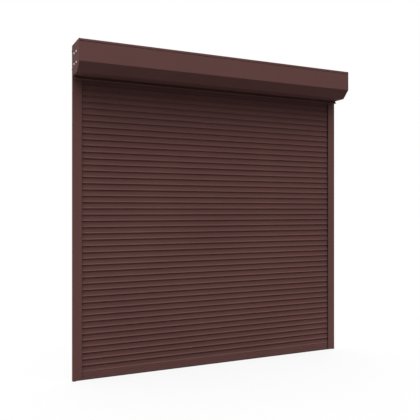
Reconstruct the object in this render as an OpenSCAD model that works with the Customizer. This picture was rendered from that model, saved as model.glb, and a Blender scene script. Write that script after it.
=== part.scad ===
// Exterior roller shutter: a wall box with a motor-driven shaft, two guide rails and a curtain of slats.
// Millimetres. X runs along the width, the wall lies on the +Y side, and Z = 0 is the sill.
// The closed curtain hangs in the plane Y = 0.

/* [Opening] */
// Clear width between the two guide rails
opening_w = 1770; // [1200:10:2400]
// Clear height from the sill to the underside of the box
opening_h = 1780; // [1200:10:2000]

/* [Box] */
// Depth of the box from the wall to its front face
box_d = 180; // [170:1:250]
// Height of the box
box_h = 180; // [170:1:250]
// Size of the sloping corner under the front face
chamfer = 53; // [30:1:60]
// Height of the strip that the rear cover folds over the front face
fold_h = 13; // [9:0.5:20]
// Thickness of the folded sheet of both covers
sheet_t = 1.2; // [0.8:0.1:1.6]
// Thickness of the end plates
plate_t = 3; // [2:0.5:5]
// Depth of the rim that carries the covers on each end plate
rim_d = 14; // [12:1:18]
// Thickness of that rim
rim_t = 2; // [1.5:0.5:3]
// Distance from the wall to the rear edge of the underside
inlet_d = 36; // [32:1:45]
// Drop of the leaning lip below the underside
lip_drop = 18; // [10:1:24]
// How far the lip leans to the front
lip_lean = 14; // [8:1:20]
// Gap between the fold behind the lip and the guide rails
lip_gap = 8; // [4:0.5:14]

/* [Guide rails] */
// Width of the face of a guide rail
guide_w = 53; // [50:1:70]
// Depth of a guide rail from the wall
guide_d = 22; // [20:1:30]
// Wall of a guide rail
guide_wall = 1.5; // [1.2:0.1:2]
// Width of the closed chamber beside the channel
chamber_w = 20; // [18:1:22]
// Width of the seal strips in the mouth of the channel
seal_w = 5; // [4:0.5:8]
// Radius of the wall fixing holes in the back of the channel
fixing_r = 3.25; // [2.5:0.25:4]
// Number of wall fixing holes in each guide rail
fixing_rows = 4; // [2:1:6]
// Distance from each end of a guide rail to its first fixing hole
fixing_end = 140; // [80:5:200]
// Length of the end plate's tongue in the chamber of the guide rail
tongue_l = 60; // [30:5:100]
// Height of the flared inlets on top of the guide rails
inlet_h = 26; // [16:1:32]
// Thickness of the foot under each guide rail
foot_t = 2; // [1:0.5:4]

/* [Curtain] */
// Height that each slat covers
slat_pitch = 37; // [35:0.5:45]
// Thickness of a slat
slat_t = 8; // [7.5:0.5:10]
// Wall of a slat
slat_wall = 1; // [0.8:0.1:1.2]
// How far the nose of a slat stands proud of its upper edge
slat_relief = 3.4; // [2:0.2:3.8]
// Height of the recess between two slat faces
recess_h = 8; // [6:0.5:9]
// How far the slats reach into each guide rail
slat_grip = 25; // [18:1:28]
// Play between a hook and the groove that holds it
hook_play = 0.6; // [0.4:0.1:0.7]
// Thickness of the clips on the slat ends
clip_t = 2.5; // [1.5:0.5:3]
// Height of the bottom bar without its seal
bar_h = 40; // [34:1:60]
// Number of flutes on the face of the bottom bar
bar_flutes = 3; // [2:1:5]
// Depth of those flutes
flute_d = 0.8; // [0.4:0.1:1.2]
// Height of the rubber seal under the bottom bar
seal_h = 4.7; // [3:0.1:8]

/* [Drive] */
// Width across the flats of the eight-sided shaft
shaft_af = 60; // [58:1:70]
// Wall of the shaft
shaft_wall = 1; // [0.8:0.1:1.5]
// Radius of the tubular motor
motor_r = 22.5; // [20:0.5:25]
// Wall of the motor tube
motor_wall = 2.5; // [2:0.5:4]
// Length of the motor tube
motor_l = 520; // [400:10:560]
// Length of the motor head between the bracket and the shaft
head_l = 24; // [20:1:30]
// Spacing of the bracket bolts from front to back
bolt_span_y = 54; // [50:1:60]
// Vertical spacing of the bracket bolts
bolt_span_z = 62; // [58:1:70]
// Radius of the bracket bolts
bolt_r = 3; // [2.5:0.5:4]
// Thickness of the bracket plates
bracket_t = 3; // [2:0.5:5]
// Radius of the idler pin
pin_r = 6; // [5:0.5:6.5]
// Outer radius of the ball bearing
bearing_r = 14; // [13:0.5:16]
// Width of the ball bearing
bearing_w = 8; // [7:0.5:10]
// Number of balls
ball_count = 8; // [6:1:9]
// Number of spring straps that hang the curtain
strap_count = 4; // [3:1:6]
// Width of a spring strap
strap_w = 24; // [18:1:30]
// Thickness of a spring strap
strap_t = 0.6; // [0.4:0.1:1]

/* [Hidden] */
$fn = 48;
// Clearance between fixed pieces
fit = 0.1;
// Running clearance on a radius
run = 0.05;
// Clearance between a soft piece and what slides past it
slip = 0.3;
// How far a cut runs past the face that it starts from
over = 1;

// Places in the frame
half_w = opening_w / 2 + guide_w;
wall_y = guide_d / 2;
front_y = wall_y - box_d;
top_z = opening_h + box_h;
axis_y = wall_y - box_d / 2;
axis_z = opening_h + box_h / 2;
plate_x = half_w - plate_t;
cover_x = plate_x - fit;
lip_y = wall_y - inlet_d;

// Rivets and screws
rivet_r = 2;
rivet_head_r = 4;
rivet_head_h = 1.4;
rivet_tail_r = 2.8;
rivet_tail_h = 1.6;
ear_w = 18;
ear_d = 14;
ear_drop = 34;
ear_rise = 40;
ear_head_h = 3.5;
ear_gap = 1;
ear_y = wall_y - sheet_t - ear_d / 2;
top_rivet_span = 90;
chamfer_rivet_rise = 12;
bolt_head_r = 6;
bolt_head_h = 4;
bolt_tail = 2;
bracket_margin = 16;
screw_r = 2;
screw_head_r = 4;
screw_head_h = 1.5;
screw_l = 8;
strap_rivet_span = 12;
cover_grip = sheet_t + fit + rim_t;
ear_grip = plate_t + fit + sheet_t;
bolt_grip = plate_t + bracket_t + bolt_tail;
strap_grip = fit + strap_t + shaft_wall;

// Guide rail section
channel_x = half_w - chamber_w;
rib_t = 1.3;
rib_h = 3;
foot_plug_l = 30;
inlet_flare = 11;
inlet_rear_flare = 1;
inlet_wall = 4;
inlet_throat = 1.2;
seal_tip = 1;
// Middle of the channel between the ribs and the chamber, where the wall is drilled
fixing_x = (channel_x + opening_w / 2 + 2 * rib_t + seal_w) / 2;

// Slat section, measured from the lower edge of the nose
slat_half = slat_t / 2;
slat_end = opening_w / 2 + slat_grip;
nose_soft = 0.6;
nose_h = 1.4;
cove_power = 2.5;
cove_steps = 7;
cove_bias = 1.5;
neck_y = 0.2;
neck_t = 1.6;
hook_reach = 1.5;
hook_t = 1.4;
hook_rise = 3;
shelf_t = 1.6;
groove_h = hook_rise + hook_t + 2 * hook_play;
rear_gap = 0.8;
shoulder_z = slat_pitch - recess_h;
clip_plug_l = 12;

// Curtain layout
bar_top = seal_h + bar_h;
bar_gap = 2;
bar_seat = bar_top + bar_gap;
bar_wall = 1.6;
group_count = 12;
// Least height of the closed curtain's top above the underside of the box
curtain_rise = 20;
slat_count = ceil((opening_h + curtain_rise - bar_seat) / slat_pitch);
curtain_top = bar_seat + slat_count * slat_pitch;
flute_steps = 5;
seal_slot = 1.6;
seal_head = 2.8;
seal_lift = 1.5;
seal_head_h = 2.5;
bar_hollow_z0 = seal_h + seal_lift + seal_head_h + bar_wall;
bar_hollow_z1 = bar_top - bar_wall;

// Drive layout along X
head_x = bracket_t - plate_x;
tube_x0 = head_x + head_l;
motor_end = head_x + head_l + motor_l;
motor_end_t = 14;
head_r = 27;
head_pin_r = 8;
head_plug_l = 20;
ring_t = 4;
ring_l = 8;
shaft_sides = 8;
crown_l = 12;
wheel_l = 16;
wheel_gap = 4;
out_r = 6;
hex_af = 9;
hex_sides = 6;
hex_tail = 2;
out_seat = 20;
idler_gap = 40;
tube_x1 = plate_x - idler_gap;
plug_l = 45;
boss_floor = 3;
boss_wall = 6;
bearing_x = plate_x - bracket_t - boss_floor;
inner_ring_t = 2.5;
outer_ring_t = 2.3;
inner_land_r = pin_r + inner_ring_t;
outer_land_r = bearing_r - outer_ring_t;
ball_path_r = (inner_land_r + outer_land_r) / 2;
ball_bite = 0.6;
ball_r = (outer_land_r - inner_land_r) / 2 + ball_bite;
track_r = ball_r + fit;
strap_step = 2 * tube_x1 / (strap_count + 1);
strap_seat_up = 11;

// Cable outlet in the back of the box, near the motor
outlet_r = 3.5;
outlet_in = 40;
outlet_x = outlet_in - plate_x;
outlet_drop = 45;
outlet_neck_r = 7;
outlet_flange_r = 10;
outlet_flange_t = 1.5;

// Colours
paint = [0.36, 0.25, 0.24];
zinc = [0.72, 0.73, 0.75];
bright_steel = [0.85, 0.86, 0.88];
motor_grey = [0.55, 0.57, 0.6];
black_plastic = [0.13, 0.12, 0.12];
black_rubber = [0.08, 0.08, 0.08];

// Vectors and folded sheet: the sheet lies on the left of its path
function unit(v) = v / norm(v);
function left_of(v) = [-v[1], v[0]];
function side_dir(path, i) = left_of(unit(path[i + 1] - path[i]));
function mitre(a, b) = (a + b) / (1 + a * b);
function sheet_shift(path, i) =
  let (last = len(path) - 1)
  i == 0 ? side_dir(path, 0)
  : i == last ? side_dir(path, last - 1)
  : mitre(side_dir(path, i - 1), side_dir(path, i));
function sheet_points(path, t) = concat(
  path,
  [for (i = [len(path) - 1 : -1 : 0]) path[i] + t * sheet_shift(path, i)]
);

// Extrudes an outline drawn in Y and Z along X
module along_x(x0, x1) {
  translate([x0, 0, 0]) rotate([90, 0, 90]) linear_extrude(x1 - x0) children();
}

// A cylinder along +X from x0 to x1, centred on the shaft axis
module rod(x0, x1, r) {
  translate([x0, axis_y, axis_z]) rotate([0, 90, 0]) cylinder(h = x1 - x0, r = r);
}

// An eight-sided bar along +X, with flats facing the wall and the floor
module octagon(x0, x1, across) {
  half_side = 180 / shaft_sides;
  translate([x0, axis_y, axis_z]) rotate([0, 90, 0]) rotate([0, 0, half_side])
    cylinder(h = x1 - x0, r = across / 2 / cos(half_side), $fn = shaft_sides);
}

// A six-sided bar along +X
module hexagon(x0, x1, across) {
  translate([x0, axis_y, axis_z]) rotate([0, 90, 0])
    cylinder(h = x1 - x0, r = across / 2 / cos(180 / hex_sides), $fn = hex_sides);
}

// A hole through a stack of sheets that starts at Z = 0 and runs down
module hole(grip, r) {
  cylinder(h = 2 * (grip + over), r = r, center = true);
}

// Draws the left-hand piece, or its mirror image on the right
module on_side(side) {
  mirror([side == "right" ? 1 : 0, 0, 0]) children();
}

// Box outline, drawn in by a distance
function box_outline(inset) =
  let (corner = inset * (sqrt(2) - 1))
  [
    [wall_y - inset, opening_h + inset],
    [wall_y - inset, top_z - inset],
    [front_y + inset, top_z - inset],
    [front_y + inset, opening_h + chamfer + corner],
    [front_y + chamfer + corner, opening_h + inset]
  ];

// A blind rivet along +Z, with its head above the outer sheet at Z = 0
module rivet(grip, head_h) {
  cylinder(h = head_h, r1 = rivet_head_r, r2 = rivet_r);
  translate([0, 0, -grip]) cylinder(h = grip, r = rivet_r);
  translate([0, 0, -grip - rivet_tail_h]) cylinder(h = rivet_tail_h, r = rivet_tail_r);
}

// Places of the rivets that hold the covers on the rims
module at_cover_rivets() {
  x = plate_x - rim_d / 2;
  slope_y = front_y + chamfer - chamfer_rivet_rise;
  for (sx = [-1, 1]) {
    for (sy = [-1, 1]) {
      translate([sx * x, axis_y + sy * top_rivet_span / 2, top_z]) children();
    }
    translate([sx * x, slope_y, opening_h + chamfer_rivet_rise]) rotate([135, 0, 0]) children();
    translate([sx * x, axis_y, opening_h]) rotate([180, 0, 0]) children();
  }
}

// Places of the rivets that hold the ears of the rear cover, on the outside of both end plates
module at_ear_rivets() {
  for (sx = [-1, 1]) {
    for (z = [top_z - ear_drop, opening_h + ear_rise]) {
      translate([sx * half_w, ear_y, z]) rotate([0, sx * 90, 0]) children();
    }
  }
}

// Places of the bracket bolts, on the outside of one end plate
module at_bracket_bolts(sx) {
  for (sy = [-1, 1]) {
    for (sz = [-1, 1]) {
      translate([sx * half_w, axis_y + sy * bolt_span_y / 2, axis_z + sz * bolt_span_z / 2])
        rotate([0, sx * 90, 0]) children();
    }
  }
}

// Rear cover: back, top and the strip folded over the front, with an ear at each rivet
module rear_cover() {
  path = [[wall_y, opening_h], [wall_y, top_z], [front_y, top_z], [front_y, top_z - fold_h]];
  color(paint)
  difference() {
    union() {
      along_x(-cover_x, cover_x) polygon(sheet_points(path, sheet_t));
      for (sx = [-1, 1]) {
        for (z = [top_z - ear_drop, opening_h + ear_rise]) {
          translate([sx * (cover_x - sheet_t / 2), ear_y + sheet_t / 2, z])
            cube([sheet_t, ear_d + sheet_t, ear_w], center = true);
        }
      }
    }
    at_cover_rivets() hole(cover_grip, rivet_r + run);
    at_ear_rivets() hole(ear_grip, rivet_r + run);
    translate([outlet_x, wall_y, top_z - outlet_drop]) rotate([90, 0, 0])
      hole(sheet_t, outlet_neck_r + run);
  }
}

// Front cover: a tongue behind the folded strip, the front, the slope, the underside and the lip with its fold
module front_cover() {
  tuck = sheet_t + fit;
  seam_z = top_z - fold_h - sheet_t / 2;
  path = [
    [front_y + tuck, top_z - sheet_t - fit],
    [front_y + tuck, seam_z],
    [front_y, seam_z],
    [front_y, opening_h + chamfer],
    [front_y + chamfer, opening_h],
    [lip_y, opening_h],
    [lip_y - lip_lean, opening_h - lip_drop],
    [-wall_y - lip_gap, opening_h - lip_drop]
  ];
  color(paint)
  difference() {
    along_x(-cover_x, cover_x) polygon(sheet_points(path, sheet_t));
    at_cover_rivets() hole(cover_grip, rivet_r + run);
  }
}

// End cap: a plate with a rim inside it for the covers and a tongue for the guide rail
module end_cap(side) {
  rim_out = sheet_t + fit;
  tongue_w = chamber_w - 2 * guide_wall - plate_t - fit;
  tongue_d = guide_d - 2 * guide_wall - 4 * fit;
  open_y = lip_y - 3 * sheet_t;
  open_h = rim_out + rim_t + fit;
  seam_h = fold_h + 2 * sheet_t + over;
  color(paint)
  difference() {
    on_side(side) {
      along_x(-half_w, -plate_x) polygon(box_outline(0));
      difference() {
        along_x(-plate_x, rim_d - plate_x) difference() {
          polygon(box_outline(rim_out));
          polygon(box_outline(rim_out + rim_t));
          translate([open_y, opening_h]) square([inlet_d, open_h]);
          translate([front_y, top_z - seam_h]) square([3 * sheet_t + rim_t, seam_h]);
        }
        for (z = [top_z - ear_drop, opening_h + ear_rise]) {
          translate([-plate_x, ear_y - ear_d / 2 - ear_gap, z - ear_w / 2 - ear_gap])
            cube([rim_d, ear_d + 2 * ear_gap, ear_w + 2 * ear_gap]);
        }
      }
      translate([-plate_x, -tongue_d / 2, opening_h - tongue_l])
        cube([tongue_w, tongue_d, tongue_l + rim_d]);
    }
    at_cover_rivets() hole(cover_grip, rivet_r + run);
    at_ear_rivets() hole(ear_grip, rivet_r + run);
    for (sx = [-1, 1]) {
      at_bracket_bolts(sx) hole(bolt_grip, bolt_r + fit);
    }
  }
}

module left_end_cap() {
  end_cap("left");
}

module right_end_cap() {
  end_cap("right");
}

module cover_rivets() {
  color(paint) at_cover_rivets() rivet(cover_grip, rivet_head_h);
}

module ear_rivets() {
  color(paint) at_ear_rivets() rivet(ear_grip, ear_head_h);
}

// A bracket plate on the inside of an end plate
module bracket_plate(sx) {
  size_y = bolt_span_y + 2 * bracket_margin;
  size_z = bolt_span_z + 2 * bracket_margin;
  translate([sx * (plate_x - bracket_t / 2), axis_y, axis_z])
    cube([bracket_t, size_y, size_z], center = true);
}

// Motor bracket, with a ring round the motor head
module motor_bracket() {
  color(zinc)
  difference() {
    union() {
      bracket_plate(-1);
      rod(head_x, head_x + ring_l, head_r + fit + ring_t);
    }
    rod(head_x, head_x + ring_l + over, head_r + fit);
    rod(-plate_x - over, head_x + over, head_pin_r + run);
    at_bracket_bolts(-1) hole(bolt_grip, bolt_r + fit);
  }
}

// Idler bracket, with a boss that holds the ball bearing
module idler_bracket() {
  seat_x = bearing_x - bearing_w;
  color(zinc)
  difference() {
    union() {
      bracket_plate(1);
      rod(seat_x, plate_x - bracket_t, bearing_r + boss_wall);
    }
    rod(seat_x - over, bearing_x, bearing_r + run);
    rod(seat_x, plate_x + over, outer_land_r - fit);
    at_bracket_bolts(1) hole(bolt_grip, bolt_r + fit);
  }
}

// Bolts of both brackets, with low round heads on the outside of the end plates
module bracket_bolts() {
  color(bright_steel)
  for (sx = [-1, 1]) {
    at_bracket_bolts(sx) {
      cylinder(h = bolt_head_h / 2, r = bolt_head_r);
      translate([0, 0, bolt_head_h / 2]) cylinder(h = bolt_head_h / 2, r1 = bolt_head_r, r2 = bolt_r);
      translate([0, 0, -bolt_grip]) cylinder(h = bolt_grip, r = bolt_r);
    }
  }
}

// Motor head: a flange in the bracket's ring, a pin in the bracket and a plug in the motor tube
module motor_head() {
  color(black_plastic) {
    rod(fit - plate_x, head_x, head_pin_r);
    rod(head_x, head_x + head_l, head_r);
    rod(head_x + head_l, head_x + head_l + head_plug_l, motor_r - motor_wall - run);
  }
}

module motor_tube() {
  color(motor_grey)
  difference() {
    rod(head_x + head_l, motor_end, motor_r);
    rod(head_x + head_l - over, motor_end - motor_end_t, motor_r - motor_wall);
    rod(motor_end - motor_end_t - over, motor_end + over, out_r + run);
  }
}

// Output shaft: round in the motor, six-sided in the drive wheel
module output_shaft() {
  x0 = motor_end + wheel_gap;
  color(bright_steel) {
    rod(motor_end - out_seat, x0, out_r);
    hexagon(x0, x0 + wheel_l + hex_tail, hex_af);
  }
}

module drive_wheel() {
  x0 = motor_end + wheel_gap;
  color(black_plastic)
  difference() {
    octagon(x0, x0 + wheel_l, shaft_af - 2 * shaft_wall - 2 * fit);
    hexagon(x0 - over, x0 + wheel_l + over, hex_af + 2 * run);
    at_shaft_screws() hole(screw_l, screw_r + run);
  }
}

// Crown ring: turns with the shaft on the motor tube
module crown_ring() {
  color(black_plastic)
  difference() {
    octagon(tube_x0, tube_x0 + crown_l, shaft_af - 2 * shaft_wall - 2 * fit);
    rod(tube_x0 - over, tube_x0 + crown_l + over, motor_r + run);
  }
}

module shaft_tube() {
  color(zinc)
  difference() {
    octagon(tube_x0, tube_x1, shaft_af);
    octagon(tube_x0 - over, tube_x1 + over, shaft_af - 2 * shaft_wall);
    at_shaft_screws() hole(screw_l, screw_r + run);
    at_strap_rivets() hole(strap_grip, rivet_r + run);
  }
}

// Places of the screws that pin the drive wheel and the idler plug, on the flats of the shaft
module at_shaft_screws() {
  for (x = [motor_end + wheel_gap + wheel_l / 2, tube_x1 - plug_l / 2]) {
    for (turn = [0, 180]) {
      translate([x, axis_y, axis_z]) rotate([turn, 0, 0]) translate([0, 0, shaft_af / 2]) children();
    }
  }
}

module shaft_screws() {
  color(bright_steel)
  at_shaft_screws() {
    cylinder(h = screw_head_h, r1 = screw_head_r, r2 = screw_r);
    translate([0, 0, -screw_l]) cylinder(h = screw_l, r = screw_r);
  }
}

module idler_plug() {
  color(black_plastic)
  difference() {
    octagon(tube_x1 - plug_l, tube_x1, shaft_af - 2 * shaft_wall - 2 * fit);
    rod(tube_x1 - plug_l - over, tube_x1 + over, pin_r + run);
    at_shaft_screws() hole(screw_l, screw_r + run);
  }
}

module idler_pin() {
  color(bright_steel) rod(tube_x1 - plug_l, bearing_x, pin_r);
}

// Removes the ball track from a ring of the bearing
module ball_track() {
  translate([bearing_x - bearing_w / 2, axis_y, axis_z]) rotate([0, 90, 0])
    rotate_extrude() translate([ball_path_r, 0]) circle(r = track_r);
}

module bearing_outer_ring() {
  color(bright_steel)
  difference() {
    rod(bearing_x - bearing_w, bearing_x, bearing_r);
    rod(bearing_x - bearing_w - over, bearing_x + over, outer_land_r);
    ball_track();
  }
}

module bearing_inner_ring() {
  color(bright_steel)
  difference() {
    rod(bearing_x - bearing_w, bearing_x, inner_land_r);
    rod(bearing_x - bearing_w - over, bearing_x + over, pin_r + run);
    ball_track();
  }
}

module bearing_balls() {
  color(bright_steel)
  for (i = [0 : ball_count - 1]) {
    translate([bearing_x - bearing_w / 2, axis_y, axis_z]) rotate([i * 360 / ball_count, 0, 0])
      translate([0, ball_path_r, 0]) sphere(r = ball_r);
  }
}

// Places along X where the spring straps hang
function strap_x(i) = (i + 1) * strap_step - tube_x1;

// Axes of the strap rivets, on the flat of the shaft that faces the wall
module at_strap_rivets() {
  for (i = [0 : strap_count - 1]) {
    for (sx = [-1, 1]) {
      translate([strap_x(i) + sx * strap_rivet_span / 2, axis_y + shaft_af / 2, axis_z])
        rotate([-90, 0, 0]) children();
    }
  }
}

// Spring straps: riveted to the shaft, and hooked behind the tongue of the top slat
module hanger_straps() {
  seat_y = axis_y + shaft_af / 2 + fit;
  tail_y = neck_y + neck_t + hook_play;
  hook_top = curtain_top + hook_rise + hook_t;
  path = [
    [tail_y, curtain_top - rear_gap + hook_play],
    [tail_y, hook_top + hook_t],
    [seat_y, axis_z - strap_seat_up],
    [seat_y, axis_z + strap_seat_up]
  ];
  color(zinc)
  difference() {
    for (i = [0 : strap_count - 1]) {
      along_x(strap_x(i) - strap_w / 2, strap_x(i) + strap_w / 2) polygon(sheet_points(path, -strap_t));
    }
    at_strap_rivets() hole(strap_grip, rivet_r + run);
  }
}

module strap_rivets() {
  color(bright_steel)
  at_strap_rivets() translate([0, 0, fit + strap_t]) rivet(strap_grip, rivet_head_h);
}

// Guide rail: a closed chamber beside an open channel, with a rib and a return on each lip to hold a seal
module guide_rail(side) {
  mouth_x = -opening_w / 2;
  rib_x = mouth_x - rib_t - seal_w - 2 * fit;
  span = opening_h - 2 * fixing_end;
  color(paint)
  on_side(side)
  difference() {
    translate([0, 0, foot_t]) linear_extrude(opening_h - foot_t) difference() {
      translate([-half_w, -wall_y]) square([guide_w, guide_d]);
      translate([guide_wall - half_w, guide_wall - wall_y])
        square([chamber_w - 2 * guide_wall, guide_d - 2 * guide_wall]);
      difference() {
        translate([-channel_x, guide_wall - wall_y])
          square([channel_x + mouth_x + over, guide_d - 2 * guide_wall]);
        for (x = [mouth_x - rib_t, rib_x - rib_t]) {
          translate([x, guide_wall - wall_y]) square([rib_t, rib_h]);
          translate([x, wall_y - guide_wall - rib_h]) square([rib_t, rib_h]);
        }
      }
    }
    for (i = [0 : fixing_rows - 1]) {
      translate([-fixing_x, wall_y, fixing_end + i * span / (fixing_rows - 1)]) rotate([90, 0, 0])
        hole(guide_wall, fixing_r);
    }
  }
}

module left_guide_rail() {
  guide_rail("left");
}

module right_guide_rail() {
  guide_rail("right");
}

// Two seal strips that stand between the ribs of the lips and just clear the slats
module guide_seals(side) {
  x0 = -opening_w / 2 - rib_t - fit - seal_w;
  reach = wall_y - guide_wall - slat_half - slip;
  color(black_rubber)
  on_side(side)
  translate([0, 0, foot_t]) linear_extrude(opening_h - foot_t)
    for (flip = [0, 1]) {
      mirror([0, flip]) translate([x0, guide_wall - wall_y]) polygon([
        [0, 0],
        [seal_w, 0],
        [seal_w, reach / 2],
        [(seal_w + seal_tip) / 2, reach],
        [(seal_w - seal_tip) / 2, reach],
        [0, reach / 2]
      ]);
    }
}

module left_guide_seals() {
  guide_seals("left");
}

module right_guide_seals() {
  guide_seals("right");
}

// Flared inlet: two jaws and a web that lead the slats into the channel
module guide_inlet(side) {
  x_out = rim_d + fit - plate_x;
  x_in = -opening_w / 2 - rib_t;
  web_x = -slat_end - clip_t - inlet_throat;
  throat = slat_half + inlet_throat;
  rear = wall_y - sheet_t - fit;
  z1 = opening_h + inlet_h;
  color(black_plastic)
  on_side(side) {
    along_x(x_out, x_in) {
      polygon([
        [-wall_y, opening_h],
        [-throat, opening_h],
        [-throat - inlet_flare, z1],
        [-throat - inlet_flare - inlet_wall, z1]
      ]);
      polygon([[throat, opening_h], [rear, opening_h], [rear, z1], [throat + inlet_rear_flare, z1]]);
    }
    along_x(x_out, web_x) polygon([
      [-wall_y, opening_h],
      [rear, opening_h],
      [rear, z1],
      [-throat - inlet_flare - inlet_wall, z1]
    ]);
  }
}

module left_guide_inlet() {
  guide_inlet("left");
}

module right_guide_inlet() {
  guide_inlet("right");
}

// Foot: a plate under the chamber of a guide rail, with a plug inside it
module guide_foot(side) {
  plug_gap = guide_wall + fit;
  color(black_plastic)
  on_side(side) {
    translate([-half_w, -wall_y, 0]) cube([chamber_w, guide_d, foot_t]);
    translate([plug_gap - half_w, plug_gap - wall_y, foot_t])
      cube([chamber_w - 2 * plug_gap, guide_d - 2 * plug_gap, foot_plug_l]);
  }
}

module left_guide_foot() {
  guide_foot("left");
}

module right_guide_foot() {
  guide_foot("right");
}

// Grommet of the motor cable, flush with the back of the box
module cable_grommet() {
  color(black_rubber)
  translate([outlet_x, wall_y, top_z - outlet_drop]) rotate([90, 0, 0])
  difference() {
    union() {
      cylinder(h = sheet_t + fit, r = outlet_neck_r);
      translate([0, 0, sheet_t + fit]) cylinder(h = outlet_flange_t, r = outlet_flange_r);
    }
    hole(sheet_t + fit + outlet_flange_t, outlet_r);
  }
}

// Tongue that hooks into the slat above, drawn from its neck up to a pitch line, front first
function tongue_points(pitch_z) = [
  [neck_y, pitch_z + hook_rise],
  [neck_y - hook_reach, pitch_z + hook_rise],
  [neck_y - hook_reach, pitch_z + hook_rise + hook_t],
  [neck_y + neck_t, pitch_z + hook_rise + hook_t],
  [neck_y + neck_t, pitch_z - rear_gap],
  [slat_half, pitch_z - rear_gap]
];

// Front of a slat: the curve runs in from the nose to the upper edge
function cove_y(z) =
  let (s = (z - nose_h) / (shoulder_z - nose_h))
  slat_relief * (1 - pow(1 - s, cove_power)) - slat_half;
function cove_points(z0, z1, wall) = [
  for (i = [0 : cove_steps])
    let (z = z0 + (z1 - z0) * pow(i / cove_steps, cove_bias))
    [cove_y(z) + wall, z]
];

// Section of a slat in Y and Z: nose, curved face, tongue, flat back and the groove for the slat below
function slat_points() =
  let (
    groove_rear = neck_y + neck_t + hook_play,
    groove_front = neck_y - hook_reach - hook_play,
    shelf_y = neck_y - hook_play
  )
  concat(
    [[shelf_y, 0], [nose_soft - slat_half, 0], [-slat_half, nose_soft]],
    cove_points(nose_h, shoulder_z, 0),
    [[neck_y, shoulder_z]],
    tongue_points(slat_pitch),
    [
      [slat_half, 0],
      [groove_rear, 0],
      [groove_rear, groove_h],
      [groove_front, groove_h],
      [groove_front, shelf_t],
      [shelf_y, shelf_t]
    ]
  );

// Hollow inside a slat, drawn in by a further margin
function hollow_points(margin) =
  let (
    z0 = groove_h + slat_wall + margin,
    z1 = shoulder_z - slat_wall - margin,
    rear = slat_half - slat_wall - margin
  )
  concat(cove_points(z0, z1, slat_wall + margin), [[rear, z1], [rear, z0]]);

module slat() {
  along_x(-slat_end, slat_end) difference() {
    polygon(slat_points());
    polygon(hollow_points(0));
  }
}

// A clip on each end of a slat, plugged into the hollow
module slat_clip_pair() {
  for (sx = [-1, 1]) {
    mirror([sx > 0 ? 1 : 0, 0, 0]) {
      along_x(-slat_end, clip_plug_l - slat_end) polygon(hollow_points(2 * fit));
      along_x(-slat_end - clip_t, -slat_end) polygon(hollow_points(-slat_wall / 2));
    }
  }
}

// First slat of a group: the slats are shared out among the groups from the bottom up
function group_start(g) = floor(slat_count * g / group_count);

module at_group(g) {
  for (i = [group_start(g) : group_start(g + 1) - 1]) {
    translate([0, 0, bar_seat + i * slat_pitch]) children();
  }
}

module slat_group(g) {
  color(paint) at_group(g) slat();
}

module clip_group(g) {
  color(black_plastic) at_group(g) slat_clip_pair();
}

// Fluted face of the bottom bar
function flute_points() =
  let (flute_h = bar_h / bar_flutes)
  [
    for (i = [0 : bar_flutes - 1])
      for (j = [0 : flute_steps])
        let (s = j / flute_steps)
        if (j < flute_steps || i == bar_flutes - 1)
          [flute_d * (1 - sqrt(sin(180 * s))) - slat_half, seal_h + (i + s) * flute_h]
  ];

module bar_hollow(margin) {
  inner = slat_half - bar_wall - margin;
  translate([flute_d / 2 - inner, bar_hollow_z0 + margin])
    square([2 * inner - flute_d / 2, bar_hollow_z1 - bar_hollow_z0 - 2 * margin]);
}

// Bottom bar: fluted front, flat back, a tongue for the first slat and a slot for the seal
module bottom_bar() {
  color(paint)
  along_x(-slat_end, slat_end) difference() {
    polygon(concat(
      flute_points(),
      [[neck_y, bar_top]],
      tongue_points(bar_seat),
      [[slat_half, seal_h]]
    ));
    bar_hollow(0);
    translate([-seal_slot, seal_h - over]) square([2 * seal_slot, seal_lift + 2 * over]);
    translate([-seal_head, seal_h + seal_lift]) square([2 * seal_head, seal_head_h]);
  }
}

module bottom_seal() {
  gap = 2 * fit;
  color(black_rubber)
  along_x(-opening_w / 2, opening_w / 2) {
    translate([-slat_half, 0]) square([slat_t, seal_h - gap]);
    translate([gap - seal_slot, seal_h - gap]) square([2 * (seal_slot - gap), seal_lift + 3 * gap]);
    translate([gap - seal_head, seal_h + seal_lift + gap])
      square([2 * (seal_head - gap), seal_head_h - 2 * gap]);
  }
}

// Plugs in the ends of the bottom bar
module bar_end_plugs() {
  color(black_plastic)
  for (sx = [-1, 1]) {
    mirror([sx > 0 ? 1 : 0, 0, 0]) {
      along_x(-slat_end, 2 * clip_plug_l - slat_end) bar_hollow(2 * fit);
      along_x(-slat_end - clip_t, -slat_end) bar_hollow(-bar_wall / 2);
    }
  }
}

rear_cover();
front_cover();
left_end_cap();
right_end_cap();
cover_rivets();
ear_rivets();
motor_bracket();
idler_bracket();
bracket_bolts();
motor_head();
motor_tube();
output_shaft();
drive_wheel();
crown_ring();
shaft_tube();
shaft_screws();
idler_plug();
idler_pin();
bearing_outer_ring();
bearing_balls();
bearing_inner_ring();
hanger_straps();
strap_rivets();
left_guide_rail();
right_guide_rail();
left_guide_seals();
right_guide_seals();
left_guide_inlet();
right_guide_inlet();
left_guide_foot();
right_guide_foot();
cable_grommet();
bottom_bar();
bottom_seal();
bar_end_plugs();
slat_group(0);  // slats_01
slat_group(1);  // slats_02
slat_group(2);  // slats_03
slat_group(3);  // slats_04
slat_group(4);  // slats_05
slat_group(5);  // slats_06
slat_group(6);  // slats_07
slat_group(7);  // slats_08
slat_group(8);  // slats_09
slat_group(9);  // slats_10
slat_group(10);  // slats_11
slat_group(11);  // slats_12
clip_group(0);  // slat_clips_01
clip_group(1);  // slat_clips_02
clip_group(2);  // slat_clips_03
clip_group(3);  // slat_clips_04
clip_group(4);  // slat_clips_05
clip_group(5);  // slat_clips_06
clip_group(6);  // slat_clips_07
clip_group(7);  // slat_clips_08
clip_group(8);  // slat_clips_09
clip_group(9);  // slat_clips_10
clip_group(10);  // slat_clips_11
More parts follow.
